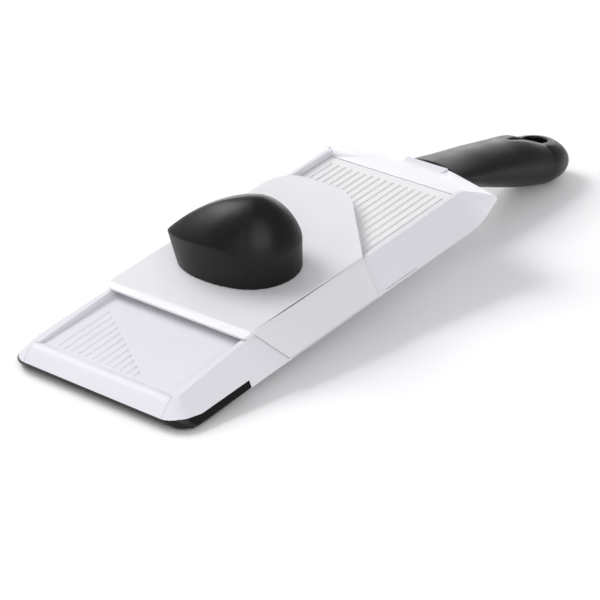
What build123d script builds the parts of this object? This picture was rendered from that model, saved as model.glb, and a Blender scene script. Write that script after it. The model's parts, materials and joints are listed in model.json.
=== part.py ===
from build123d import *
import math
import os

# Hand-held mandoline slicer, standing on its front foot and the end of its handle.
#
# Two frames are used, both in millimetres.
#   Body frame:  +X runs up the slicer from the front lip to the handle, +Y across it,
#                +Z out of the working face. z = 0 is the crest of the two side rails,
#                on which the food holder slides.
#   Stand frame: +Z up, with the slicer tilted so that it rests on foot and handle.
# Most pieces are drawn in the body frame and stood up at the end by stand().

# ---------------------------------------------------------------- driving dimensions
TILT = 7.9                  # degrees that the body rises towards the handle
CREST_HEIGHT = 16.2         # height of the rail crest above the table, at the front lip
ORIGIN_X = 190.34          # distance from the front lip to the middle of the length

INNER_HALF = 43.4           # half the width between the rails' inner walls
CREST_HALF = 45.6           # half the width over the rail crests
APRON_HALF = 59.3           # half the width over the lower edges of the sloping aprons
APRON_DROP = 14.6           # depth of the aprons below the crest
FRONT_DROP = 10.0           # depth of the front lip's lower edge below the crest
FRONT_BEVEL = 8.0           # length of the sloping front lip
CREST_START = 64.0          # the crest falls gently from here to the front lip
CREST_FALL = 2.8            # how far it falls by the front lip
SKIN = 2.4                  # wall thickness of the mouldings
CORNER_RADIUS = 10.0        # front corners at the lip's lower edge, seen from above

SEAM_X = 230.0              # gap between the ramp and the rear deck
TIP_X = 242.5               # pointed rear corners
TIP_Z = -5.8
ROOT_X = 260.0              # where the deck meets the handle
ROOT_HALF = 20.0
ROOT_Z = -12.4
WORK_Z = -3.6               # level of landing, blade and ramp between the rails

BLADE_X = 128.0             # cutting edge on the centre line
BLADE_ANGLE = 32.0          # degrees that the blade is skewed across the body
BLADE_WIDTH = 20.0
BLADE_THICK = 1.2
THROAT = 1.2                # gap between cutting edge and ramp at rest

HINGE_X = 227.5             # ramp hinge
HINGE_Z = -8.5
HINGE_PIN_R = 1.25
HINGE_CLEARANCE = 0.05
RAMP_THICK = 3.0
RAMP_SIDE_GAP = 0.6
RAMP_DROP_ANGLE = 2.4       # degrees, gives a slice of about 4 mm
GROOVE_COUNT = 17
GROOVE_PITCH = 4.7
GROOVE_WIDTH = 1.5
GROOVE_DEPTH = 0.8

DIAL_X = 190.0              # axis of the thickness dial
DIAL_R = 21.0
CAM_R = 17.0
CAM_TRACK_R = 12.0
CAM_TURN = 270              # degrees of dial travel
BRIDGE_TOP = -13.6
BRIDGE_THICK = 3.0

HOLDER_TOP = 3.2            # top of the food holder's plate
HOLDER_UNDER = 0.4
HOLDER_FRONT = 60.0
HOLDER_REAR = 195.5
HOLDER_GAP = 0.5            # between the holder's skirts and the aprons
SKIRT_THICK = 2.0

KNOB_X = 112.0
KNOB_Y = -11.2
KNOB_R = 22.0               # the knob's round side
KNOB_NOSE = 25.2            # how far the nose reaches out beyond that radius
KNOB_NOSE_SPREAD = 0.59     # radians over which the nose dies away
KNOB_TIP_ANGLE = 114.1      # direction of the knob's nose, degrees from +X
KNOB_CREASE_Z = 22.4        # crease between wall and dome at the nose
KNOB_CREASE_RISE = 3.5
KNOB_CREASE_FALL = 3.2
KNOB_TOP_Z = 43.2
KNOB_TAPER = 0.934          # the wall's foot, as a share of its top
KNOB_CORE_R = 16.0

FOOT_END_X = 49.0           # the foot's arms end here
FOOT_SIDE_Z = -12.0         # upper edge of the arms
FOOT_TUCK = 6.0             # how far the foot's front tucks in at the table

HANG_HOLE_X = 355.5         # hanging hole in the handle, stand frame, from the front lip
HANG_HOLE_R = 7.0
HANG_HOLE_LENGTH = 33.0

# Handle stations in the stand frame: distance from the front lip, half width,
# height of the underside and height of the top.
HANDLE_STATIONS = [
    (260.0, 18.8, 29.8, 42.4),
    (280.0, 18.2, 22.8, 40.7),
    (300.0, 18.1, 15.7, 39.0),
    (320.0, 18.0, 9.1, 36.5),
    (338.0, 18.0, 3.7, 33.9),
    (352.0, 18.0, 0.5, 29.0),
]
HANDLE_END = (379.5, 10.0)  # the rounded end closes at this distance and height
# Tang stations in the stand frame: distance from the front lip and middle height.
TANG_STATIONS = [(238.0, 34.2), (262.0, 34.8), (284.0, 30.8), (304.0, 26.2), (326.0, 20.8)]
TANG_HALF = 10.0
TANG_THICK = 7.0
# Side view of the sloping front lip in the body frame.
LIP = [(0.0, -FRONT_DROP), (0.9, -8.6), (4.6, -4.5), (6.6, -3.2), (8.0, -2.8), (9.4, -3.0)]

os.makedirs("parts", exist_ok=True)

SLOPE = math.hypot(APRON_HALF - CREST_HALF, APRON_DROP)
APRON_NORMAL = (APRON_DROP / SLOPE, (APRON_HALF - CREST_HALF) / SLOPE)
BLADE_TAN = math.tan(math.radians(BLADE_ANGLE))
BLADE_COS = math.cos(math.radians(BLADE_ANGLE))


# ---------------------------------------------------------------- helpers
def stand(shape):
    """Moves a piece from the body frame to the stand frame."""
    tilt = Location((0, 0, 0), (0, -TILT, 0))
    return shape.moved(Location((-ORIGIN_X, 0, CREST_HEIGHT)) * tilt)


def unstand(shape):
    """Moves a piece from the stand frame to the body frame."""
    tilt = Location((0, 0, 0), (0, TILT, 0))
    return shape.moved(tilt * Location((ORIGIN_X, 0, -CREST_HEIGHT)))


def one(shape):
    """The single solid of a boolean result."""
    solids = shape.solids()
    assert len(solids) == 1, f"expected one solid, got {len(solids)}"
    return solids[0]


def face_of(points):
    return Face(Wire.make_polygon([Vector(*p) for p in points], close=True))


def prism_x(yz, x0, x1):
    return Solid.extrude(face_of([(x0, y, z) for y, z in yz]), Vector(x1 - x0, 0, 0))


def prism_y(xz, y0, y1):
    return Solid.extrude(face_of([(x, y0, z) for x, z in xz]), Vector(0, y1 - y0, 0))


def prism_z(xy, z0, z1):
    return Solid.extrude(face_of([(x, y, z0) for x, y in xy]), Vector(0, 0, z1 - z0))


def rounded_prism_z(xy, radii, z0, z1):
    """A prism whose outline has a radius at each corner."""
    line = FilletPolyline(*[(x, y) for x, y in xy], radius=radii, close=True)
    face = Face(Wire(line.edges())).moved(Location((0, 0, z0)))
    return Solid.extrude(face, Vector(0, 0, z1 - z0))


def skin_loft(stations):
    """A solid with flat facets through polygons given as (x, [(y, z), ...])."""
    wires = [Wire.make_polygon([Vector(x, y, z) for y, z in ring], close=True) for x, ring in stations]
    return Solid.make_loft(wires, ruled=True)


def box(x0, x1, y0, y1, z0, z1):
    return Pos((x0 + x1) / 2, (y0 + y1) / 2, (z0 + z1) / 2) * Box(x1 - x0, y1 - y0, z1 - z0)


def rod(radius, start, end):
    """A cylinder from one point to another."""
    a, b = Vector(*start), Vector(*end)
    return Solid.make_cylinder(radius, (b - a).length, Plane(origin=a, z_dir=b - a))


def blade_line(offset, y):
    """x of a line parallel to the cutting edge, offset along X, at a given y."""
    return BLADE_X + offset + y * BLADE_TAN


def skew_band(x_from, x_to, half, z0, z1):
    """A slab between two lines parallel to the cutting edge."""
    corners = [(blade_line(x_from, -half), -half), (blade_line(x_to, -half), -half),
               (blade_line(x_to, half), half), (blade_line(x_from, half), half)]
    return prism_z(corners, z0, z1)


def ground_half(depth=30):
    """The space under the table, in the body frame."""
    return unstand(box(-260, 260, -80, 80, -depth, 0))


# ---------------------------------------------------------------- frame
def apron_y(z):
    """Half width of the apron's outer face at a depth z."""
    return CREST_HALF - z * (APRON_HALF - CREST_HALF) / APRON_DROP


def apron_section(z_low):
    """Outline between the outer faces of the two aprons, down to a depth."""
    low = apron_y(z_low)
    return [(-low, z_low), (-CREST_HALF, 0), (CREST_HALF, 0), (low, z_low)]


def rail_stations():
    """Crest and lower edge of one side rail: x, crest y, crest z, edge y, edge z."""
    lip_crest = -CREST_FALL
    return [
        (0.0, apron_y(-FRONT_DROP), -FRONT_DROP, APRON_HALF, -APRON_DROP),
        (FRONT_BEVEL, apron_y(lip_crest), lip_crest, APRON_HALF, -APRON_DROP),
        (CREST_START, CREST_HALF, 0.0, APRON_HALF, -APRON_DROP),
        (219.0, CREST_HALF, 0.0, APRON_HALF, -APRON_DROP),
        (226.0, CREST_HALF, 0.0, APRON_HALF, -APRON_DROP + 0.6),
        (231.5, CREST_HALF + 0.8, -0.5, APRON_HALF, -APRON_DROP + 2.2),
        (237.5, CREST_HALF + 5.4, -2.9, APRON_HALF, -APRON_DROP + 5.6),
        (TIP_X, APRON_HALF - 1.6, TIP_Z + 0.6, APRON_HALF, TIP_Z - 0.6),
    ]


def rail(side):
    """One rail: inner wall, crest and sloping apron, open underneath."""
    apron = []
    for x, yc, zc, ye, ze in rail_stations():
        inner = [(yc, zc), (ye, ze), (ye - SKIN, ze), (yc - SKIN * 0.9, zc - SKIN * 0.9)]
        apron.append((x, [(side * y, z) for y, z in inner]))
    wall = []
    for x, yc, zc, ye, ze in rail_stations()[1:6]:
        depth = max(-BRIDGE_THICK + BRIDGE_TOP, ze + 1.6)
        ring = [(INNER_HALF, zc), (yc, zc), (yc - 0.2, zc - SKIN), (INNER_HALF + 1.8, depth),
                (INNER_HALF, depth)]
        wall.append((x, [(side * y, z) for y, z in ring]))
    return skin_loft(apron) + skin_loft(wall)


def rear_deck():
    """The deck behind the ramp, dished between the rails and narrowing to the handle."""
    def ring(half, edge_z, mid_half, mid_z):
        top = [(-half, edge_z), (-mid_half, mid_z), (mid_half, mid_z), (half, edge_z)]
        return top + [(y, z - SKIN) for y, z in reversed(top)]
    return skin_loft([
        (SEAM_X, ring(CREST_HALF + 0.6, -0.4, INNER_HALF - 2.0, WORK_Z)),
        (TIP_X, ring(APRON_HALF - 1.0, TIP_Z, 30.0, -6.6)),
        (ROOT_X, ring(ROOT_HALF, ROOT_Z, 12.0, ROOT_Z + 1.4)),
    ])


def tang_solid(grow=0.0):
    """The handle's rigid tang, from under the deck to the middle of the handle."""
    half, thick = TANG_HALF + grow, TANG_THICK / 2 + grow
    stations = []
    for x, z in TANG_STATIONS:
        ring = [(-half, z - thick), (half, z - thick), (half, z + thick), (-half, z + thick)]
        stations.append((x - ORIGIN_X, ring))
    return unstand(skin_loft(stations))


def tang_screws(radius, head_radius):
    """Two screws that hold the tang under the deck, from below."""
    screws = []
    for y in (-5.5, 5.5):
        shank = rod(radius, (251, y, -24.0), (251, y, -12.0))
        head = rod(head_radius, (251, y, -26.0), (251, y, -24.0))
        screws.append(shank + head)
    return screws


def layer_loft(layers):
    """A solid with flat facets through polygons given as (z, [(x, y), ...])."""
    wires = [Wire.make_polygon([Vector(x, y, z) for x, y in ring], close=True) for z, ring in layers]
    return Solid.make_loft(wires, ruled=True)


def front_hull():
    """Space inside the rounded front: the lip's slope carried round both corners, and the foot's tuck."""
    # depth, front edge, half width and corner radius
    levels = [(1.0, 12.2, apron_y(1.0), 7.0)]
    levels += [(z, x, apron_y(z), 6.6 - z * 0.34) for x, z in reversed(LIP[:-1])]
    levels += [(-FRONT_DROP - 0.6, 0.0, apron_y(-FRONT_DROP - 0.6), CORNER_RADIUS),
               (-FRONT_DROP - 2.4, 0.7, apron_y(-FRONT_DROP - 2.4), CORNER_RADIUS),
               (-FRONT_DROP - 4.7, 2.8, APRON_HALF, CORNER_RADIUS),
               (-17.2, FOOT_TUCK, APRON_HALF - 3.0, CORNER_RADIUS),
               (-26.0, FOOT_TUCK, APRON_HALF - 3.0, CORNER_RADIUS)]
    layers = []
    for z, front, half, radius in levels:
        front, half = front - 0.02, half + 0.3
        arc = [(front + radius * (1 - math.cos(a)), half - radius * (1 - math.sin(a)))
               for a in (math.radians(15 * k) for k in range(7))]
        ring = [(x, -y) for x, y in arc] + [(300, -half), (300, half)] + list(reversed(arc))
        layers.append((z, ring))
    return layer_loft(layers)


def front_corners():
    """Solid corners that carry the front lip's slope round to the aprons."""
    ridge = LIP[:-1] + [(9.4, LIP[-2][1]), (9.4, -APRON_DROP), (0.0, -APRON_DROP)]
    corners = prism_y(ridge, -60, 60) & prism_x(apron_section(-APRON_DROP), -1, 10)
    return corners - box(-1, 10, -46, 46, -20, 2)


def main_frame():
    body = rail(1) + rail(-1) + rear_deck() + front_corners()
    # cross members
    body += box(11, 18, -INNER_HALF - 1, INNER_HALF + 1, -12.6, -8.0)
    body += box(DIAL_X - 20, DIAL_X + 22, -INNER_HALF - 1.8, INNER_HALF + 1.8,
                BRIDGE_TOP - BRIDGE_THICK, BRIDGE_TOP)
    for y0, y1 in ((-INNER_HALF - 1.8, -INNER_HALF), (INNER_HALF, INNER_HALF + 1.8)):
        body += box(DIAL_X - 20, DIAL_X + 22, y0, y1, BRIDGE_TOP - BRIDGE_THICK, -8.0)
    # socket for the tang under the deck
    body += box(240, ROOT_X - 1.6, -13.6, 13.6, -23.9, -9.0)
    outline = [(0, -APRON_HALF), (TIP_X, -APRON_HALF), (ROOT_X, -ROOT_HALF), (ROOT_X, ROOT_HALF),
               (TIP_X, APRON_HALF), (0, APRON_HALF)]
    radii = [1.0, 3.0, 1.0, 1.0, 3.0, 1.0]
    body = body & rounded_prism_z(outline, radii, -40, 5)
    body -= box(-2, 30, -70, 70, -30, 2) - front_hull()
    # openings and bores
    body -= rod(8.08, (DIAL_X, 0, -20), (DIAL_X, 0, -10))
    body -= tang_solid()
    for screw in tang_screws(1.6, 3.2):
        body -= screw
    for side in (-1, 1):
        body -= rod(HINGE_PIN_R, (HINGE_X, side * 40, HINGE_Z), (HINGE_X, side * 46.2, HINGE_Z))
        # the foot's arm replaces the lower edge of the apron near the front
        body -= foot_envelope()
        body -= bowl_pad(side)
    # landing lip space between the corners
    body -= box(-1, FRONT_BEVEL + 1.2, -46.0, 46.0, -20, 2)
    return one(body)


# ---------------------------------------------------------------- foot and pads
def foot_envelope():
    """The band under the front lip and along the aprons' front ends."""
    outline = [(0, -APRON_HALF), (FOOT_END_X, -APRON_HALF), (FOOT_END_X, APRON_HALF), (0, APRON_HALF)]
    block = prism_z(outline, -20, -FRONT_DROP)
    trim = [(CORNER_RADIUS * 0.4, -FRONT_DROP + 1), (CORNER_RADIUS * 0.4, -FRONT_DROP),
            (CORNER_RADIUS * 1.6, FOOT_SIDE_Z), (FOOT_END_X, FOOT_SIDE_Z), (FOOT_END_X - 4.0, -20),
            (FOOT_END_X + 1, -20), (FOOT_END_X + 1, -FRONT_DROP + 1)]
    return block - prism_y(trim, -70, 70)


def front_foot():
    """Soft non-slip foot under the front lip, wrapping round both corners."""
    band = foot_envelope()
    # the outer faces follow the aprons and tuck in towards the table
    half = [(apron_y(-FRONT_DROP), -FRONT_DROP), (APRON_HALF - 0.2, -APRON_DROP + 0.2),
            (APRON_HALF - 0.6, -15.6), (APRON_HALF - 3.0, -17.0), (APRON_HALF - 3.0, -20)]
    section = [(-y, z) for y, z in half] + [(y, z) for y, z in reversed(half)]
    band &= prism_x(section, -1, FOOT_END_X + 2)
    band -= box(-2, 30, -70, 70, -30, 2) - front_hull()
    # hollow inside: a front bar and two arms
    band -= box(12, FOOT_END_X + 2, -APRON_HALF + 7.0, APRON_HALF - 7.0, -21, 0)
    # arms rise clear of the table behind the front bar
    arm = [(10, -APRON_DROP - 1.4), (FOOT_END_X + 2, -APRON_DROP), (FOOT_END_X + 2, -21), (14, -21)]
    band -= prism_y(arm, -70, 70)
    return one(band - ground_half())


def bowl_pad(side):
    """Soft pad let into the apron's lower edge, where the slicer rests on a bowl's rim."""
    outline = [(150, -APRON_DROP - 0.9), (156, -APRON_DROP - 1.2), (163, -APRON_DROP - 0.2),
               (174, -APRON_DROP - 0.2), (175, -APRON_DROP + 1.0), (150, -APRON_DROP + 1.0)]
    y0, y1 = side * (APRON_HALF - 4.4), side * (APRON_HALF - 0.6)
    return prism_y(outline, y0, y1) & prism_x(apron_section(-20), 149, 176)


# ---------------------------------------------------------------- landing plate and blade
def landing_plate():
    """Front tray with its sloping lip, ribbed on one side, ending under the blade."""
    rear = 190
    top = LIP + [(12.0, -4.5), (CREST_START, -3.9), (100, WORK_Z), (rear, WORK_Z)]
    under = [(rear, WORK_Z - SKIN), (70, WORK_Z - SKIN), (18, -7.2), (10.5, -6.6), (4.0, -FRONT_DROP)]
    plate = prism_y(top + under, -45.8, 45.8)
    keep = [(-1, -45.8), (FRONT_BEVEL + 1.0, -45.8), (FRONT_BEVEL + 1.0, -INNER_HALF + 0.1)]
    keep += [(blade_line(-10, -INNER_HALF + 0.1), -INNER_HALF + 0.1)]
    keep += [(blade_line(-10, INNER_HALF - 0.1), INNER_HALF - 0.1)]
    keep += [(FRONT_BEVEL + 1.0, INNER_HALF - 0.1), (FRONT_BEVEL + 1.0, 45.8), (-1, 45.8)]
    plate &= prism_z(keep, -20, 5)
    plate -= box(-2, 30, -70, 70, -30, 2) - front_hull()
    plate -= skew_band(-BLADE_WIDTH / BLADE_COS - 0.2, 5, 60, WORK_Z - BLADE_THICK, 5)
    # low ribs run along the tray and end on a line parallel to the blade
    for i in range(12):
        y = 35.0 - 4.6 * i
        end = 49.0 + (y - 34.0) * BLADE_TAN
        if end > 17:
            plate += rod(0.7, (14, y, -4.8), (end, y, -4.35))
    for point in blade_screw_points():
        plate -= rod(1.6, (point[0], point[1], -12), (point[0], point[1], 0))
    return one(plate)


def blade_screw_points():
    return [(blade_line(-17, y), y) for y in (-34, -11.5, 11.5, 34)]


def blade():
    """Stainless blade, bevelled on its upper side at the cutting edge."""
    back = -BLADE_WIDTH / BLADE_COS
    body = skew_band(back, 0, INNER_HALF - 0.3, WORK_Z - BLADE_THICK, WORK_Z)
    edge = [(blade_line(-5.0, 0), WORK_Z), (blade_line(0.5, 0), WORK_Z - BLADE_THICK),
            (blade_line(0.5, 0), WORK_Z + 0.5), (blade_line(-5.0, 0), WORK_Z + 0.5)]
    bevel = Solid.extrude(face_of([(x - 60 * BLADE_TAN, -60, z) for x, z in edge]),
                          Vector(120 * BLADE_TAN, 120, 0))
    body -= bevel
    for x, y in blade_screw_points():
        body -= rod(1.6, (x, y, -12), (x, y, 0))
    return one(body)


def blade_carrier():
    """Bar under the landing plate's rear edge that the blade is screwed down to."""
    top = WORK_Z - SKIN
    bar = skew_band(-22, -10.2, INNER_HALF, top - 6.0, top)
    for x, y in blade_screw_points():
        bar -= rod(1.6, (x, y, -11), (x, y, 0))
    return one(bar)


def blade_screws():
    screws = []
    for x, y in blade_screw_points():
        shank = rod(1.5, (x, y, -10.4), (x, y, WORK_Z))
        head = rod(2.8, (x, y, WORK_Z), (x, y, WORK_Z + 0.9))
        slot = box(x - 3.2, x + 3.2, y - 0.4, y + 0.4, WORK_Z + 0.45, WORK_Z + 1.2)
        screws.append(one(shank + head - slot))
    return Compound(children=screws)


# ---------------------------------------------------------------- ramp and its hinge
def ramp_plate():
    """Grooved ramp that food slides along, hinged at its rear edge."""
    half = INNER_HALF - RAMP_SIDE_GAP
    rear = SEAM_X - RAMP_SIDE_GAP
    outline = [(blade_line(THROAT, -half), -half), (rear, -half), (rear, half), (blade_line(THROAT, half), half)]
    plate = prism_z(outline, WORK_Z - RAMP_THICK, WORK_Z)
    first = -(GROOVE_COUNT - 1) / 2 * GROOVE_PITCH
    for i in range(GROOVE_COUNT):
        y = first + i * GROOVE_PITCH
        start = blade_line(THROAT + 5, y)
        plate -= box(start, rear - 5.5, y - GROOVE_WIDTH / 2, y + GROOVE_WIDTH / 2, WORK_Z - GROOVE_DEPTH, 0)
    # stiffening ribs underneath
    for y in (-36, -24, 24, 36):
        plate += box(blade_line(THROAT + 8, y), rear - 8, y - 0.8, y + 0.8, WORK_Z - RAMP_THICK - 2.6,
                     WORK_Z - RAMP_THICK + 0.2)
    # hinge ears
    for side in (-1, 1):
        ear = rod(2.6, (HINGE_X, side * 36, HINGE_Z), (HINGE_X, side * 42.4, HINGE_Z))
        ear += box(HINGE_X - 2.6, HINGE_X + 1.6, min(side * 36, side * 42.4), max(side * 36, side * 42.4),
                   HINGE_Z, WORK_Z - RAMP_THICK + 0.2)
        plate += ear
        plate -= rod(HINGE_PIN_R + HINGE_CLEARANCE, (HINGE_X, side * 35, HINGE_Z), (HINGE_X, side * 44, HINGE_Z))
    # boss for the cam follower
    x = DIAL_X - CAM_TRACK_R
    plate += rod(4.0, (x, 0, WORK_Z - RAMP_THICK - 0.9), (x, 0, WORK_Z - RAMP_THICK + 0.2))
    plate -= rod(1.5, (x, 0, -12), (x, 0, WORK_Z - 1.2))
    return one(plate)


def ramp_hinge_pins():
    """Two short pins, pressed into the rails, that the ramp's ears turn on."""
    return Compound(children=[rod(HINGE_PIN_R, (HINGE_X, side * 37.0, HINGE_Z), (HINGE_X, side * 46.0, HINGE_Z))
                              for side in (-1, 1)])


FOLLOWER_TIP = -8.9


def cam_follower():
    """Wear pad plugged into the ramp, riding on the dial's cam."""
    x = DIAL_X - CAM_TRACK_R
    top = WORK_Z - RAMP_THICK - 0.9
    stem = rod(1.5, (x, 0, top), (x, 0, WORK_Z - 1.2))
    pad = rod(2.2, (x, 0, FOLLOWER_TIP), (x, 0, top))
    return one(stem + pad)


# ---------------------------------------------------------------- thickness dial
CAM_HIGH = FOLLOWER_TIP - 0.25
CAM_FALL = math.radians(RAMP_DROP_ANGLE) * (HINGE_X - DIAL_X + CAM_TRACK_R)


def sector(radius_in, radius_out, angle_from, angle_to, z0, z1):
    """A short ring sector with straight sides, about the dial's axis."""
    def at(radius, angle):
        a = math.radians(angle)
        return (DIAL_X + radius * math.cos(a), radius * math.sin(a))
    middle = (angle_from + angle_to) / 2
    outline = [at(radius_in, angle_from), at(radius_out, angle_from), at(radius_out, middle),
               at(radius_out, angle_to), at(radius_in, angle_to), at(radius_in, middle)]
    return prism_z(outline, z0, z1)


def thickness_cam():
    """Face cam above the bridge: a shallow helical track that lowers the ramp."""
    base_top = CAM_HIGH - CAM_FALL - 0.6
    cam = rod(CAM_R, (DIAL_X, 0, BRIDGE_TOP + 0.2), (DIAL_X, 0, base_top))
    step = 10
    cam += sector(8.5, CAM_R - 0.6, 180, 205, base_top - 0.2, CAM_HIGH)
    for i in range(CAM_TURN // step):
        high = CAM_HIGH - CAM_FALL * (i + 0.5) * step / CAM_TURN
        cam += sector(8.5, CAM_R - 0.6, 180 - (i + 1) * step, 180 - i * step, base_top - 0.2, high)
    cam += rod(8.6, (DIAL_X, 0, base_top - 0.2), (DIAL_X, 0, CAM_HIGH - CAM_FALL - 0.3))
    for i in range(4):
        a = math.radians(-90 * i)
        x, y = DIAL_X + (CAM_R + 0.6) * math.cos(a), (CAM_R + 0.6) * math.sin(a)
        cam -= rod(1.6, (x, y, -20), (x, y, 0))
    cam -= rod(6.0, (DIAL_X, 0, BRIDGE_TOP), (DIAL_X, 0, BRIDGE_TOP + 1.4))
    cam -= rod(1.5, (DIAL_X, 0, -20), (DIAL_X, 0, 0))
    return one(cam)


def thickness_dial():
    """Dial under the bridge, turned with the fingers to set the slice thickness."""
    under = BRIDGE_TOP - BRIDGE_THICK - 0.2
    dial = rod(DIAL_R - 2.0, (DIAL_X, 0, under - 8.0), (DIAL_X, 0, under))
    dial += rod(8.0, (DIAL_X, 0, under), (DIAL_X, 0, BRIDGE_TOP + 0.2))
    dial += rod(6.0, (DIAL_X, 0, BRIDGE_TOP + 0.2), (DIAL_X, 0, BRIDGE_TOP + 1.4))
    # finger bar across the dial
    dial += box(DIAL_X - 16, DIAL_X + 16, -3.2, 3.2, under - 11.0, under - 7.0)
    dial -= rod(3.2, (DIAL_X, 0, under - 12), (DIAL_X, 0, under - 7.0))
    dial -= rod(1.6, (DIAL_X, 0, -30), (DIAL_X, 0, 0))
    return one(dial)


def dial_grip_ring():
    """Soft ribbed ring round the dial."""
    under = BRIDGE_TOP - BRIDGE_THICK - 0.2
    ring = rod(DIAL_R, (DIAL_X, 0, under - 7.4), (DIAL_X, 0, under - 0.6))
    ring -= rod(DIAL_R - 2.0, (DIAL_X, 0, under - 9), (DIAL_X, 0, under))
    for i in range(24):
        a = math.radians(15 * i)
        x, y = DIAL_X + (DIAL_R + 0.5) * math.cos(a), (DIAL_R + 0.5) * math.sin(a)
        ring -= rod(1.2, (x, y, under - 9), (x, y, under))
    return one(ring)


def dial_screw():
    """Screw that holds cam and dial together through the bridge."""
    under = BRIDGE_TOP - BRIDGE_THICK - 0.2
    screw = rod(1.5, (DIAL_X, 0, under - 7.0), (DIAL_X, 0, CAM_HIGH - CAM_FALL - 0.5))
    screw += rod(3.0, (DIAL_X, 0, under - 9.0), (DIAL_X, 0, under - 7.0))
    screw -= box(DIAL_X - 2, DIAL_X + 2, -0.45, 0.45, under - 9.5, under - 8.0)
    screw -= box(DIAL_X - 0.45, DIAL_X + 0.45, -2, 2, under - 9.5, under - 8.0)
    return one(screw)


def detent_spring():
    """Steel clip on the bridge whose bump marks the dial's four settings."""
    x = DIAL_X + CAM_R + 1.35
    clip = box(x, x + 0.5, -7, 7, BRIDGE_TOP, CAM_HIGH - CAM_FALL - 0.6)
    clip += box(x, x + 4.0, -3, 3, BRIDGE_TOP, BRIDGE_TOP + 0.5)
    clip += rod(1.2, (x, 0, BRIDGE_TOP + 0.4), (x, 0, CAM_HIGH - CAM_FALL - 0.7))
    return one(clip)


def thickness_marks():
    """Four raised dots beside the dial, for its settings: one small to one large."""
    dots = []
    for i in range(4):
        a = math.radians(-90 * i + 45)
        x, y = DIAL_X + 25.5 * math.cos(a) * 0.78, 25.5 * math.sin(a)
        z = BRIDGE_TOP - BRIDGE_THICK
        dots.append(rod(0.9 + 0.3 * i, (x, y, z - 0.4), (x, y, z)))
    return Compound(children=dots)


# ---------------------------------------------------------------- handle
def handle_end_station(x):
    """Half width, underside and top of the rounded end at x, closing as an ellipse."""
    start, half, low, high = HANDLE_STATIONS[-1]
    end, end_z = HANDLE_END
    along = (x - start) / (end - start)
    close = math.sqrt(1 - along ** 2)
    middle = (low + high) / 2
    middle += (end_z - middle) * along ** 1.4
    tall = (high - low) / 2 * close
    return (x, half * close, middle - tall, middle + tall)


def grip_outer():
    """Soft oval handle, thickest near its rounded end."""
    sections = []
    ends = [handle_end_station(x) for x in (359.0, 365.5, 371.0, 375.0, 377.6, 379.3)]
    for x, half, low, high in HANDLE_STATIONS + ends:
        plane = Plane(origin=(x - ORIGIN_X, 0, (low + high) / 2), x_dir=(0, 1, 0), z_dir=(1, 0, 0))
        sections.append((plane * Ellipse(half, (high - low) / 2)).wire())
    return Solid.make_loft(sections, ruled=True)


def hang_hole(radius):
    """Teardrop hole right through the handle, pointed towards the body."""
    x = HANG_HOLE_X - ORIGIN_X
    nose = x + radius - HANG_HOLE_LENGTH
    round_end = Pos(x, 0, 20) * Cylinder(radius, 60)
    wedge = prism_z([(nose, -0.8), (x - radius * 0.15, -radius * 0.98), (x, -radius * 0.9),
                     (x, radius * 0.9), (x - radius * 0.15, radius * 0.98), (nose, 0.8)], -10, 50)
    return round_end + wedge


def handle_grip():
    grip = grip_outer() - hang_hole(HANG_HOLE_R)
    return one(unstand(grip) - tang_solid())


def handle_tang():
    tang = tang_solid()
    for screw in tang_screws(1.5, 3.1):
        tang -= screw
    return one(tang)


def handle_screws():
    return Compound(children=[one(screw) for screw in tang_screws(1.5, 3.1)])


# ---------------------------------------------------------------- food holder
def holder_outline():
    """Corners and radii of the holder's plate, cut back along the blade at the near rear."""
    edge = CREST_HALF + 1.2
    corners = [(HOLDER_FRONT, -edge), (148, -edge), (187, -8), (HOLDER_REAR, 4), (HOLDER_REAR, edge),
               (HOLDER_FRONT, edge)]
    radii = [4.0, 2.0, 22.0, 16.0, 16.0, 4.0]
    return corners, radii


def skirt(side, x0, x1):
    """Skirt that hangs over one apron and guides the holder along the rail."""
    n_y, n_z = APRON_NORMAL
    inner, outer = HOLDER_GAP, HOLDER_GAP + SKIRT_THICK
    low = -APRON_DROP + 0.6
    def at(y, z, off):
        return (side * (y + n_y * off), z + n_z * off)
    ring = [(side * (CREST_HALF - 2.0), HOLDER_UNDER), at(CREST_HALF, 0.0, inner),
            at(apron_y(low), low, inner), at(apron_y(low), low, outer), at(CREST_HALF, 0.0, outer),
            (side * (CREST_HALF - 0.2), HOLDER_TOP), (side * (CREST_HALF - 2.0), HOLDER_TOP)]
    wall = prism_x(ring, x0, x1)
    slant = [(x0 - 1, HOLDER_TOP + 1), (x0 + 1, HOLDER_TOP + 1), (x0 + 14, low - 2), (x0 - 1, low - 2)]
    lean = [(x1 + 1, HOLDER_TOP + 1), (x1, HOLDER_TOP + 1), (x1 - 8, low - 1), (x1 + 1, low - 1)]
    return wall - prism_y(slant, -80, 80) - prism_y(lean, -80, 80)


def pin_points():
    """A staggered field of pins, clear of the plate's cut corner and of the screws."""
    points = []
    for row in range(5):
        for column in range(6):
            x = 80 + 14 * row + (column % 2) * 4
            y = -31 + 12.4 * column
            near_screw = any(math.hypot(x - sx, y - sy) < 5 for sx, sy in holder_screw_points())
            if not near_screw and (x < 138 or y > -25):
                points.append((x, y))
    return points


def holder_screw_points():
    return [(KNOB_X + 10 * math.cos(a), KNOB_Y + 10 * math.sin(a)) for a in
            (math.radians(d) for d in (30, 150, 270))]


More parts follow.
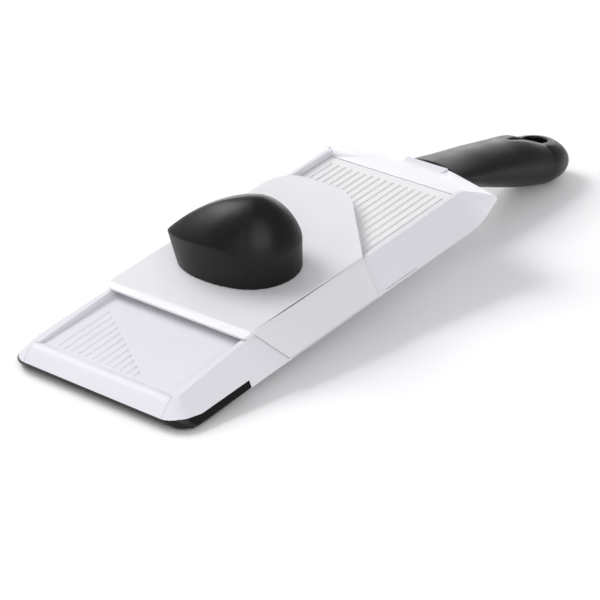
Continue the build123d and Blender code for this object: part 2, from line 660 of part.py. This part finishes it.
def food_holder_plate():
    """Saddle plate that slides on the rails, with a skirt over each apron."""
    corners, radii = holder_outline()
    plate = rounded_prism_z(corners, radii, HOLDER_UNDER, HOLDER_TOP)
    plate += skirt(-1, HOLDER_FRONT + 3, 148.0)
    plate += skirt(1, HOLDER_FRONT + 3, 181.0)
    # sloping front edge
    plate -= prism_y([(HOLDER_FRONT - 1, 1.5), (HOLDER_FRONT, 1.5), (HOLDER_FRONT + 4.5, HOLDER_TOP + 0.05),
                      (HOLDER_FRONT - 1, HOLDER_TOP + 0.05)], -80, 80)
    for x, y in holder_screw_points():
        plate -= rod(1.6, (x, y, -5), (x, y, 5))
        plate -= rod(3.0, (x, y, -5), (x, y, HOLDER_UNDER + 1.4))
    for x, y in pin_points():
        plate -= rod(0.9, (x, y, -5), (x, y, HOLDER_UNDER + 1.4))
    return one(plate)


def food_pins():
    """Short steel pins under the plate that hold the food."""
    pins = []
    for x, y in pin_points():
        shank = rod(0.9, (x, y, -1.4), (x, y, HOLDER_UNDER + 1.4))
        tip = Solid.make_cone(0.9, 0.2, 1.0, Plane(origin=(x, y, -1.4), z_dir=(0, 0, -1)))
        pins.append(one(shank + tip))
    return Compound(children=pins)


def knob_profile(turn):
    """Plan radius, crease height and roundness of the dome, at an angle from the nose in radians."""
    away = abs(math.atan2(math.sin(turn), math.cos(turn)))
    radius = KNOB_R + KNOB_NOSE * math.exp(-(away / KNOB_NOSE_SPREAD) ** 1.28)
    share = min(max((math.degrees(away) - 50) / 70, 0), 1)
    fade = share * share * (3 - 2 * share)
    rise = KNOB_CREASE_RISE * math.sin(2 * min(away, math.pi / 2))
    return radius, KNOB_CREASE_Z + rise - KNOB_CREASE_FALL * fade, 1 + 0.47 * fade


def knob_section(z):
    """Outline of the knob at one height."""
    points = []
    for i in range(60):
        turn = 2 * math.pi * i / 60
        radius, crease, power = knob_profile(turn)
        if z < crease:
            scale = KNOB_TAPER + (1 - KNOB_TAPER) * (z - HOLDER_TOP) / (crease - HOLDER_TOP)
        else:
            scale = math.sqrt(1 - ((z - crease) / (KNOB_TOP_Z - crease)) ** power)
        a = turn + math.radians(KNOB_TIP_ANGLE)
        points.append(Vector(KNOB_X + radius * scale * math.cos(a), KNOB_Y + radius * scale * math.sin(a), z))
    return Wire([Edge.make_spline(points, periodic=True)])


def knob_outer():
    heights = (HOLDER_TOP, 12, 19, 21, 23, 25, 27.5, 30, 32.5, 35, 37.2, 39.2, 40.9, 42.1, 42.8)
    return Solid.make_loft([knob_section(z) for z in heights], ruled=True)


def knob_core_solid():
    return rod(KNOB_CORE_R, (KNOB_X, KNOB_Y, HOLDER_TOP), (KNOB_X, KNOB_Y, KNOB_CREASE_Z + 4))


def knob_grip():
    return one(knob_outer() - knob_core_solid())


def knob_core():
    core = knob_core_solid()
    for x, y in holder_screw_points():
        core -= rod(1.5, (x, y, 0), (x, y, 14))
    return one(core)


def holder_screws():
    screws = []
    for x, y in holder_screw_points():
        head = rod(2.9, (x, y, HOLDER_UNDER), (x, y, HOLDER_UNDER + 1.4))
        screws.append(one(head + rod(1.5, (x, y, HOLDER_UNDER + 1.4), (x, y, 14))))
    return Compound(children=screws)


# ---------------------------------------------------------------- export
NODES = {
    "main_frame": main_frame,
    "landing_plate": landing_plate,
    "front_foot": front_foot,
    "bowl_rest_pads": lambda: Compound(children=[bowl_pad(-1), bowl_pad(1)]),
    "blade": blade,
    "blade_carrier": blade_carrier,
    "blade_screws": blade_screws,
    "ramp_plate": ramp_plate,
    "ramp_hinge_pins": ramp_hinge_pins,
    "cam_follower": cam_follower,
    "thickness_cam": thickness_cam,
    "thickness_dial": thickness_dial,
    "dial_grip_ring": dial_grip_ring,
    "dial_screw": dial_screw,
    "detent_spring": detent_spring,
    "thickness_marks": thickness_marks,
    "handle_tang": handle_tang,
    "handle_screws": handle_screws,
    "handle_grip": handle_grip,
    "food_holder_plate": food_holder_plate,
    "food_pins": food_pins,
    "knob_core": knob_core,
    "knob_grip": knob_grip,
    "holder_screws": holder_screws,
}

for name, make in NODES.items():
    export_step(stand(make()), f"parts/{name}.step")
    print(name)
print("OK")
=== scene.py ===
import json
import math

import bmesh
import bpy
from mathutils import Matrix, Vector


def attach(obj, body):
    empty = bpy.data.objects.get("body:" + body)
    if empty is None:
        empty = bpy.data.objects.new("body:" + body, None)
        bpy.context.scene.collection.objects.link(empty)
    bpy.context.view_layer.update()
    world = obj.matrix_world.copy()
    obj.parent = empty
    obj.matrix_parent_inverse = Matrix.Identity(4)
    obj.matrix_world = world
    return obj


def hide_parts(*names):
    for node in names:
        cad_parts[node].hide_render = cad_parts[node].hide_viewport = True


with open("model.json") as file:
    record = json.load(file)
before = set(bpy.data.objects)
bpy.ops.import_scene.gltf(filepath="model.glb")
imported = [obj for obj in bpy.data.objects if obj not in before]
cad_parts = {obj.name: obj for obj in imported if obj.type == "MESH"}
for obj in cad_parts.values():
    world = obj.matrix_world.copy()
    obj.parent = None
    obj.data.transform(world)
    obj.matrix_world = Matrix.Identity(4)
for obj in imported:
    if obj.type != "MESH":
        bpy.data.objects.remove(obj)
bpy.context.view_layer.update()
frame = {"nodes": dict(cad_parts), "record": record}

# Lengths below are in millimetres in the body frame: +X from the front lip to the handle, +Y
# across, +Z out of the working face, z = 0 at the rails' crest. BODY stands them on the table.
MM = 0.001
TILT = math.radians(7.9)
CREST_HEIGHT = 16.2
ORIGIN_X = 190.34
STAND = Matrix.Translation((-ORIGIN_X * MM, 0, CREST_HEIGHT * MM))
BODY = STAND @ Matrix.Rotation(-TILT, 4, "Y") @ Matrix.Scale(MM, 4)
UPRIGHT = Matrix.Translation((-ORIGIN_X * MM, 0, 0)) @ Matrix.Scale(MM, 4)

KNOB_CENTRE = (112.0, -11.2)
KNOB_R = 22.0
KNOB_NOSE = 25.2
KNOB_NOSE_SPREAD = 0.59
KNOB_TIP_ANGLE = 114.1
KNOB_BASE_Z = 3.2
KNOB_CREASE_Z = 22.4
KNOB_CREASE_RISE = 3.5
KNOB_CREASE_FALL = 3.2
KNOB_TOP_Z = 43.2
KNOB_TAPER = 0.934
KNOB_SIDES = 180
KNOB_WALL_RINGS = 30
KNOB_DOME_RINGS = 60
KNOB_VOXEL = 0.5
KNOB_RELAX_STEPS = 6

# Handle stations in the stand frame: x, half width, underside and top.
HANDLE_STATIONS = [
    (260.0, 18.8, 29.8, 42.4),
    (280.0, 18.2, 22.8, 40.7),
    (300.0, 18.1, 15.7, 39.0),
    (320.0, 18.0, 9.1, 36.5),
    (338.0, 18.0, 3.7, 33.9),
    (352.0, 18.0, 0.5, 29.0),
]
HANDLE_END = (379.5, 10.0)
HANG_HOLE_X = 355.5
HANG_HOLE_R = 7.0
HANG_HOLE_LENGTH = 33.0
HOLE_NOSE_R = 1.5
HOLE_SIDES = 64
HOLE_FLOOR_Z = -10
HOLE_ROOF_Z = 60
DISH_DEPTH = 1.2
HANDLE_BODY_RINGS = 70
HANDLE_END_RINGS = 40
HANDLE_SIDES = 96
HANDLE_VOXEL = 0.55
HANDLE_RELAX_STEPS = 7

# Facets closer than FLAT_ANGLE are one face. Edges sharper than EDGE_ANGLE are rounded.
FLAT_ANGLE = math.radians(0.6)
EDGE_ANGLE = math.radians(28.0)
BEVEL_SEGMENTS = 3


# ---------------------------------------------------------------- camera and light
FLOOR_HALF = 4.0
WORLD_COLOUR = (0.96, 0.965, 1.0, 1)
WORLD_STRENGTH = 0.46
LIGHTS = [
    # name, place and target in metres, size in metres, power in watts
    ("key_light", (-0.25, 1.05, 1.15), (0.02, 0, 0), (1.0, 0.8), 16.5),
    ("backdrop_light", (1.25, 1.05, 0.32), (0.1, 0.05, 0.03), (1.8, 0.42), 9),
    ("fill_light", (-0.9, -1.1, 0.8), (0, 0, 0), (1.4, 1.0), 13),
]
CAMERA_TURN = math.radians(-50.0)
CAMERA_LIFT = math.radians(24.0)
CAMERA_DISTANCE = 1.3297
CAMERA_LENS = 152.56
CAMERA_AIM = Vector(((190.0 - ORIGIN_X) * MM, 0.0, 0.015))
CAMERA_SHIFT = (-0.0788, -0.0854)


def view_axes():
    """Right, up and back directions of the camera."""
    a, e = CAMERA_TURN, CAMERA_LIFT
    right = Vector((math.cos(a), math.sin(a), 0))
    up = Vector((-math.sin(a) * math.sin(e), math.cos(a) * math.sin(e), math.cos(e)))
    back = Vector((math.sin(a) * math.cos(e), -math.cos(a) * math.cos(e), math.sin(e)))
    return right, up, back


def add_camera():
    right, up, back = view_axes()
    data = bpy.data.cameras.new("camera")
    data.lens = CAMERA_LENS
    data.sensor_width = 36
    data.shift_x, data.shift_y = CAMERA_SHIFT
    data.clip_start, data.clip_end = 0.05, 20
    camera = bpy.data.objects.new("camera", data)
    turn = Matrix((right, up, back)).transposed().to_4x4()
    camera.matrix_world = Matrix.Translation(CAMERA_AIM + back * CAMERA_DISTANCE) @ turn
    bpy.context.scene.collection.objects.link(camera)
    bpy.context.scene.camera = camera


def add_area_light(name, place, target, size, power):
    data = bpy.data.lights.new(name, "AREA")
    data.shape = "RECTANGLE"
    data.size, data.size_y = size
    data.energy = power
    lamp = bpy.data.objects.new(name, data)
    lamp.location = place
    lamp.rotation_euler = (Vector(target) - Vector(place)).to_track_quat("-Z", "Y").to_euler()
    bpy.context.scene.collection.objects.link(lamp)


def add_studio():
    scene = bpy.context.scene
    scene.view_settings.view_transform = "Standard"
    world = bpy.data.worlds.new("studio")
    scene.world = world
    world.use_nodes = True
    background = world.node_tree.nodes["Background"]
    background.inputs["Color"].default_value = WORLD_COLOUR
    background.inputs["Strength"].default_value = WORLD_STRENGTH
    for light in LIGHTS:
        add_area_light(*light)
    floor_mesh = bpy.data.meshes.new("floor")
    half = FLOOR_HALF
    corners = [(-half, -half, 0), (half, -half, 0), (half, half, 0), (-half, half, 0)]
    floor_mesh.from_pydata(corners, [], [(0, 1, 2, 3)])
    floor = bpy.data.objects.new("floor", floor_mesh)
    scene.collection.objects.link(floor)
    floor_mesh.materials.append(floor_material())


# ---------------------------------------------------------------- materials
class Shader:
    """A Principled material with short calls to add nodes."""

    def __init__(self, name, **sockets):
        self.material = bpy.data.materials.new(name)
        self.material.use_nodes = True
        self.tree = self.material.node_tree
        self.bsdf = self.tree.nodes["Principled BSDF"]
        for key, value in sockets.items():
            self.bsdf.inputs[key.replace("_", " ")].default_value = value
        self.coords = self.tree.nodes.new("ShaderNodeTexCoord")

    def node(self, kind, **inputs):
        node = self.tree.nodes.new(kind)
        for key, value in inputs.items():
            node.inputs[key].default_value = value
        return node

    def link(self, a, b):
        self.tree.links.new(a, b)

    def placed(self, scale):
        """Object coordinates stretched by a scale on each axis."""
        mapping = self.node("ShaderNodeMapping", Scale=scale)
        self.link(self.coords.outputs["Object"], mapping.inputs["Vector"])
        return mapping.outputs["Vector"]

    def noise(self, scale, detail=3.0, vector=None, rough=0.5):
        node = self.node("ShaderNodeTexNoise", Scale=scale, Detail=detail, Roughness=rough)
        self.link(vector or self.coords.outputs["Object"], node.inputs["Vector"])
        return node.outputs["Fac"]

    def ramp(self, value, low, high, to_low, to_high):
        """Maps a value range to another, clamped."""
        node = self.node("ShaderNodeMapRange")
        limits = {"From Min": low, "From Max": high, "To Min": to_low, "To Max": to_high}
        for key, number in limits.items():
            node.inputs[key].default_value = number
        self.link(value, node.inputs["Value"])
        return node.outputs["Result"]

    def mix_colour(self, factor, a, b):
        node = self.tree.nodes.new("ShaderNodeMix")
        node.data_type = "RGBA"
        node.inputs[6].default_value = (*a, 1)
        node.inputs[7].default_value = (*b, 1)
        self.link(factor, node.inputs[0])
        return node.outputs[2]

    def colour(self, factor, a, b):
        self.link(self.mix_colour(factor, a, b), self.bsdf.inputs["Base Color"])

    def roughness(self, factor, low, high):
        self.link(self.ramp(factor, 0.3, 0.7, low, high), self.bsdf.inputs["Roughness"])

    def bumps(self, *layers):
        """Bump layers, each (height, strength, distance in metres), one on another."""
        normal = None
        for height, strength, distance in layers:
            bump = self.node("ShaderNodeBump", Strength=strength, Distance=distance)
            self.link(height, bump.inputs["Height"])
            if normal is not None:
                self.link(normal, bump.inputs["Normal"])
            normal = bump.outputs["Normal"]
        self.link(normal, self.bsdf.inputs["Normal"])

    def edge_wear(self):
        """About 0.5 on flat faces, higher on convex edges."""
        return self.tree.nodes.new("ShaderNodeNewGeometry").outputs["Pointiness"]


def floor_material():
    shader = Shader("floor_paper", Roughness=0.9)
    shader.colour(shader.noise(3.0), (0.93, 0.93, 0.93), (0.95, 0.95, 0.95))
    return shader.material


def moulded_plastic(name, colour, rough, grain=0.04, gloss=0.18):
    """Satin moulded plastic: faint flow tone, fine mould texture and rubbed edges."""
    shader = Shader(name, **{"Specular_IOR_Level": gloss, "Subsurface_Weight": 0.0})
    dark = tuple(c * 0.985 for c in colour)
    shader.colour(shader.ramp(shader.noise(14.0, 4.0), 0.3, 0.7, 0, 1), dark, colour)
    wear = shader.ramp(shader.edge_wear(), 0.5, 0.56, 0, 0.10)
    fine = shader.ramp(shader.noise(90.0, 5.0), 0.2, 0.8, rough - 0.03, rough + 0.04)
    worn = shader.tree.nodes.new("ShaderNodeMath")
    worn.operation = "SUBTRACT"
    shader.link(fine, worn.inputs[0])
    shader.link(wear, worn.inputs[1])
    shader.link(worn.outputs[0], shader.bsdf.inputs["Roughness"])
    shader.bumps((shader.noise(2200.0, 2.0), grain, 0.00002), (shader.noise(12.0, 1.0), 0.02, 0.0002))
    return shader.material


def frosted_plastic():
    """Translucent frosted plastic of the food holder."""
    shader = Shader("holder_frosted", **{
        "IOR": 1.45, "Transmission_Weight": 0.24, "Specular_IOR_Level": 0.5, "Subsurface_Weight": 0.0})
    tone = shader.ramp(shader.noise(16.0, 4.0), 0.3, 0.7, 0, 1)
    shader.colour(tone, (0.86, 0.86, 0.88), (0.89, 0.89, 0.91))
    shader.roughness(shader.noise(70.0, 4.0), 0.38, 0.48)
    shader.bumps((shader.noise(1800.0, 2.0), 0.06, 0.00003), (shader.noise(24.0, 2.0), 0.04, 0.0002))
    return shader.material


def soft_rubber(name, colour, rough):
    """Soft-touch elastomer: fine pebbled grain, slightly paler where it is rubbed."""
    shader = Shader(name, **{"Specular_IOR_Level": 0.24, "Sheen_Weight": 0.0})
    pale = tuple(c * 1.25 + 0.0015 for c in colour)
    rubbed = shader.ramp(shader.noise(22.0, 5.0, rough=0.6), 0.42, 0.75, 0, 0.8)
    shader.colour(rubbed, colour, pale)
    shader.roughness(shader.noise(60.0, 4.0), rough - 0.04, rough + 0.07)
    cells = shader.node("ShaderNodeTexVoronoi", Scale=1500.0)
    shader.link(shader.coords.outputs["Object"], cells.inputs["Vector"])
    shader.bumps((cells.outputs["Distance"], 0.10, 0.00003), (shader.noise(45.0, 3.0), 0.06, 0.0002))
    return shader.material


def brushed_steel(name, colour, rough, stretch):
    """Stainless steel with fine grinding lines along one axis."""
    shader = Shader(name, Metallic=1.0)
    lines = shader.noise(1.0, 4.0, shader.placed(stretch))
    dark = tuple(c * 0.82 for c in colour)
    shader.colour(shader.ramp(lines, 0.35, 0.65, 0, 1), dark, colour)
    shader.roughness(lines, rough - 0.05, rough + 0.12)
    shader.bumps((lines, 0.12, 0.00003))
    return shader.material


MATERIALS = {
    "shell_white": lambda: moulded_plastic("shell_white", (0.71, 0.70, 0.74), 0.40),
    "ramp_white": lambda: moulded_plastic("ramp_white", (0.765, 0.76, 0.765), 0.34),
    "holder_frosted": frosted_plastic,
    "soft_black": lambda: soft_rubber("soft_black", (0.003, 0.003, 0.0032), 0.38),
    "pad_grey": lambda: soft_rubber("pad_grey", (0.42, 0.42, 0.45), 0.5),
    "dial_black": lambda: moulded_plastic("dial_black", (0.022, 0.022, 0.024), 0.42, 0.12, 0.4),
    "cam_plastic": lambda: moulded_plastic("cam_plastic", (0.55, 0.55, 0.57), 0.40, 0.10, 0.4),
    "mark_grey": lambda: moulded_plastic("mark_grey", (0.16, 0.16, 0.18), 0.45, 0.10, 0.4),
    "blade_steel": lambda: brushed_steel("blade_steel", (0.62, 0.62, 0.63), 0.24, (60, 2500, 2500)),
    "screw_steel": lambda: brushed_steel("screw_steel", (0.55, 0.55, 0.56), 0.28, (900, 900, 900)),
}
_made = {}


def material(slot):
    if slot not in _made:
        _made[slot] = MATERIALS[slot]()
    return _made[slot]


# ---------------------------------------------------------------- mesh helpers
def new_object(name, bm, place):
    mesh = bpy.data.meshes.new(name)
    bmesh.ops.recalc_face_normals(bm, faces=bm.faces)
    bm.to_mesh(mesh)
    bm.free()
    mesh.transform(place)
    for face in mesh.polygons:
        face.use_smooth = True
    piece = bpy.data.objects.new(name, mesh)
    bpy.context.scene.collection.objects.link(piece)
    return piece


def finish_piece(piece, body, slot, *nodes):
    """Gives a piece its material, hangs it on its body's empty and hides the CAD nodes it stands for.
    """
    piece.data.materials.clear()
    piece.data.materials.append(material(slot))
    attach(piece, body)
    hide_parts(*nodes)


def apply_modifiers(piece):
    """Bakes a piece's modifiers into its mesh."""
    graph = bpy.context.evaluated_depsgraph_get()
    graph.update()
    mesh = bpy.data.meshes.new_from_object(piece.evaluated_get(graph))
    piece.modifiers.clear()
    piece.data = mesh


def tube(rings):
    """A closed skin over rings of equal size."""
    bm = bmesh.new()
    loops = [[bm.verts.new(p) for p in ring] for ring in rings]
    count = len(loops[0])
    for a, b in zip(loops, loops[1:]):
        for i in range(count):
            j = (i + 1) % count
            bm.faces.new((a[i], a[j], b[j], b[i]))
    bm.faces.new(list(reversed(loops[0])))
    bm.faces.new(loops[-1])
    return bm


def remesh(piece, voxel, smooth_steps):
    """Even quads all over, with rounded edges."""
    modifier = piece.modifiers.new("remesh", "REMESH")
    modifier.mode = "VOXEL"
    modifier.voxel_size = voxel * MM
    modifier.use_smooth_shade = True
    relax = piece.modifiers.new("relax", "SMOOTH")
    relax.factor = 0.5
    relax.iterations = smooth_steps
    apply_modifiers(piece)
    for face in piece.data.polygons:
        face.use_smooth = True


def cut(piece, cutter):
    """Takes the cutter's solid out of the piece."""
    modifier = piece.modifiers.new("cut", "BOOLEAN")
    modifier.operation = "DIFFERENCE"
    modifier.solver = "EXACT"
    modifier.object = cutter
    apply_modifiers(piece)
    bpy.data.objects.remove(cutter)


def softened(node, body, slot, width):
    """A copy of a CAD node with its edges rounded, standing for the node."""
    source = frame["nodes"][node]
    mesh = source.data.copy()
    bm = bmesh.new()
    bm.from_mesh(mesh)
    bmesh.ops.remove_doubles(bm, verts=bm.verts, dist=1e-6)
    bmesh.ops.dissolve_limit(bm, angle_limit=FLAT_ANGLE, verts=bm.verts, edges=bm.edges)
    bm.to_mesh(mesh)
    bm.free()
    piece = bpy.data.objects.new(node + "_moulding", mesh)
    bpy.context.scene.collection.objects.link(piece)
    bevel = piece.modifiers.new("bevel", "BEVEL")
    bevel.width = width * MM
    bevel.segments = BEVEL_SEGMENTS
    bevel.limit_method = "ANGLE"
    bevel.angle_limit = EDGE_ANGLE
    bevel.use_clamp_overlap = True
    apply_modifiers(piece)
    for face in piece.data.polygons:
        face.use_smooth = True
    piece.data.set_sharp_from_angle(angle=EDGE_ANGLE)
    weighted = piece.modifiers.new("weighted", "WEIGHTED_NORMAL")
    weighted.keep_sharp = True
    apply_modifiers(piece)
    finish_piece(piece, body, slot, node)


def cubic(points, t):
    """Smooth interpolation of tuples whose first entry is the parameter (Catmull-Rom)."""
    keys = [p[0] for p in points]
    t = min(max(t, keys[0]), keys[-1])
    i = max(k for k in range(len(keys) - 1) if keys[k] <= t)
    p1, p2 = points[i], points[i + 1]
    p0 = points[i - 1] if i else p1
    p3 = points[i + 2] if i + 2 < len(points) else p2
    h = p2[0] - p1[0]
    u = (t - p1[0]) / h
    out = []
    for c in range(1, len(p1)):
        m1 = (p2[c] - p0[c]) / max(p2[0] - p0[0], 1e-9) * h
        m2 = (p3[c] - p1[c]) / max(p3[0] - p1[0], 1e-9) * h
        a = 2 * u ** 3 - 3 * u ** 2 + 1
        b = u ** 3 - 2 * u ** 2 + u
        out.append(a * p1[c] + b * m1 + (1 - a) * p2[c] + (u ** 3 - u ** 2) * m2)
    return out


def smoothstep(low, high, value):
    t = min(max((value - low) / (high - low), 0), 1)
    return t * t * (3 - 2 * t)


# ---------------------------------------------------------------- handle
def handle_section(x):
    """Half width, underside and top of the handle at x; the end closes as an ellipse."""
    start, half, low, high = HANDLE_STATIONS[-1]
    if x <= start:
        return cubic(HANDLE_STATIONS, x)
    end, end_z = HANDLE_END
    along = min((x - start) / (end - start), 1)
    close = math.sqrt(1 - along ** 2)
    middle = (low + high) / 2
    middle += (end_z - middle) * along ** 1.4
    tall = (high - low) / 2 * close
    return half * close, middle - tall, middle + tall


def hole_gap(x, y):
    """Distance outside the teardrop hole's rim, negative inside it."""
    nose = HANG_HOLE_X + HANG_HOLE_R - HANG_HOLE_LENGTH + HOLE_NOSE_R
    along = min(max(x, nose), HANG_HOLE_X)
    share = (along - nose) / (HANG_HOLE_X - nose)
    return math.hypot(x - along, y) - (HOLE_NOSE_R + (HANG_HOLE_R - HOLE_NOSE_R) * share ** 0.75)


def make_handle_grip():
    """Soft oval grip with a dished teardrop hole near its end."""
    first, last = HANDLE_STATIONS[0][0], HANDLE_STATIONS[-1][0]
    places = [first + (last - first) * k / HANDLE_BODY_RINGS for k in range(HANDLE_BODY_RINGS)]
    quarter = math.pi / 2
    for k in range(HANDLE_END_RINGS):
        places.append(last + (HANDLE_END[0] - last) * math.sin(quarter * k / HANDLE_END_RINGS))
    rings = []
    for x in places:
        half, low, high = handle_section(x)
        ring = []
        for i in range(HANDLE_SIDES):
            a = 2 * math.pi * i / HANDLE_SIDES
            y = half * math.cos(a)
            up = math.sin(a)
            z = (low + high) / 2 + (high - low) / 2 * up
            dip = DISH_DEPTH * (1 - smoothstep(-1.0, 4.5, hole_gap(x, y)))
            z -= math.copysign(dip, up) * smoothstep(0.2, 0.6, abs(up))
            ring.append((x, y, max(z, 0.0)))
        rings.append(ring)
    piece = new_object("handle_grip_soft", tube(rings), UPRIGHT)
    walls = []
    for z in (HOLE_FLOOR_Z, HOLE_ROOF_Z):
        ring = []
        for i in range(HOLE_SIDES):
            a = 2 * math.pi * i / HOLE_SIDES
            reach = HANG_HOLE_R
            if math.cos(a) < 0:
                reach = HANG_HOLE_R + (HANG_HOLE_LENGTH - 2 * HANG_HOLE_R) * (-math.cos(a)) ** 5
            ring.append((HANG_HOLE_X + reach * math.cos(a), HANG_HOLE_R * math.sin(a), z))
        walls.append(ring)
    cut(piece, new_object("hole_cutter", tube(walls), UPRIGHT))
    remesh(piece, HANDLE_VOXEL, HANDLE_RELAX_STEPS)
    finish_piece(piece, "frame", "soft_black", "handle_grip")


# ---------------------------------------------------------------- knob
def knob_profile(turn):
    """Plan radius, crease height and roundness of the dome, at an angle from the nose."""
    away = abs(math.atan2(math.sin(turn), math.cos(turn)))
    radius = KNOB_R + KNOB_NOSE * math.exp(-(away / KNOB_NOSE_SPREAD) ** 1.28)
    fade = smoothstep(50, 120, math.degrees(away))
    rise = KNOB_CREASE_RISE * math.sin(2 * min(away, math.pi / 2))
    return radius, KNOB_CREASE_Z + rise - KNOB_CREASE_FALL * fade, 1 + 0.47 * fade


def make_knob_grip():
    """Soft knob: upright wall, a crease round the nose that fades, and a low dome."""
    rings = []
    profile = [("wall", k / KNOB_WALL_RINGS) for k in range(KNOB_WALL_RINGS)]
    profile += [("dome", k / KNOB_DOME_RINGS) for k in range(KNOB_DOME_RINGS)]
    for part, t in profile:
        ring = []
        for i in range(KNOB_SIDES):
            turn = 2 * math.pi * i / KNOB_SIDES
            radius, crease, power = knob_profile(turn)
            if part == "wall":
                z = KNOB_BASE_Z + (crease - KNOB_BASE_Z) * t
                radius *= KNOB_TAPER + (1 - KNOB_TAPER) * t
            else:
                share = math.cos(t * math.pi / 2)
                z = crease + (KNOB_TOP_Z - crease) * (1 - share ** 2) ** (1 / power)
                radius *= share
            a = turn + math.radians(KNOB_TIP_ANGLE)
            x = KNOB_CENTRE[0] + radius * math.cos(a)
            y = KNOB_CENTRE[1] + radius * math.sin(a)
            ring.append((x, y, z))
        rings.append(ring)
    piece = new_object("knob_grip_soft", tube(rings), BODY)
    remesh(piece, KNOB_VOXEL, KNOB_RELAX_STEPS)
    finish_piece(piece, "food_holder", "soft_black", "knob_grip")


# ---------------------------------------------------------------- hard pieces
HARD_PIECES = [
    # node, body, slot, edge radius in millimetres
    ("main_frame", "frame", "shell_white", 0.5),
    ("landing_plate", "frame", "shell_white", 0.4),
    ("ramp_plate", "ramp", "ramp_white", 0.22),
    ("food_holder_plate", "food_holder", "holder_frosted", 0.6),
    ("front_foot", "frame", "soft_black", 0.6),
    ("bowl_rest_pads", "frame", "pad_grey", 0.3),
    ("blade_carrier", "frame", "shell_white", 0.4),
    ("thickness_dial", "dial", "dial_black", 0.5),
    ("dial_grip_ring", "dial", "soft_black", 0.25),
    ("thickness_cam", "dial", "cam_plastic", 0.1),
    ("handle_tang", "frame", "shell_white", 0.5),
    ("blade_screws", "frame", "screw_steel", 0.12),
    ("handle_screws", "frame", "screw_steel", 0.2),
    ("holder_screws", "food_holder", "screw_steel", 0.15),
    ("dial_screw", "dial", "screw_steel", 0.12),
]


def make_hard_pieces():
    for node, body, slot, radius in HARD_PIECES:
        softened(node, body, slot, radius)


def dress_remaining_nodes():
    """Every CAD node that is still shown gets its slot's material."""
    slots = {s["node"]: s["material_slot"] for s in frame["record"]["subparts"]}
    for name, node in frame["nodes"].items():
        if not node.hide_render:
            node.data.materials.clear()
            node.data.materials.append(material(slots[name]))


add_camera()
add_studio()
make_handle_grip()
make_knob_grip()
make_hard_pieces()
dress_remaining_nodes()
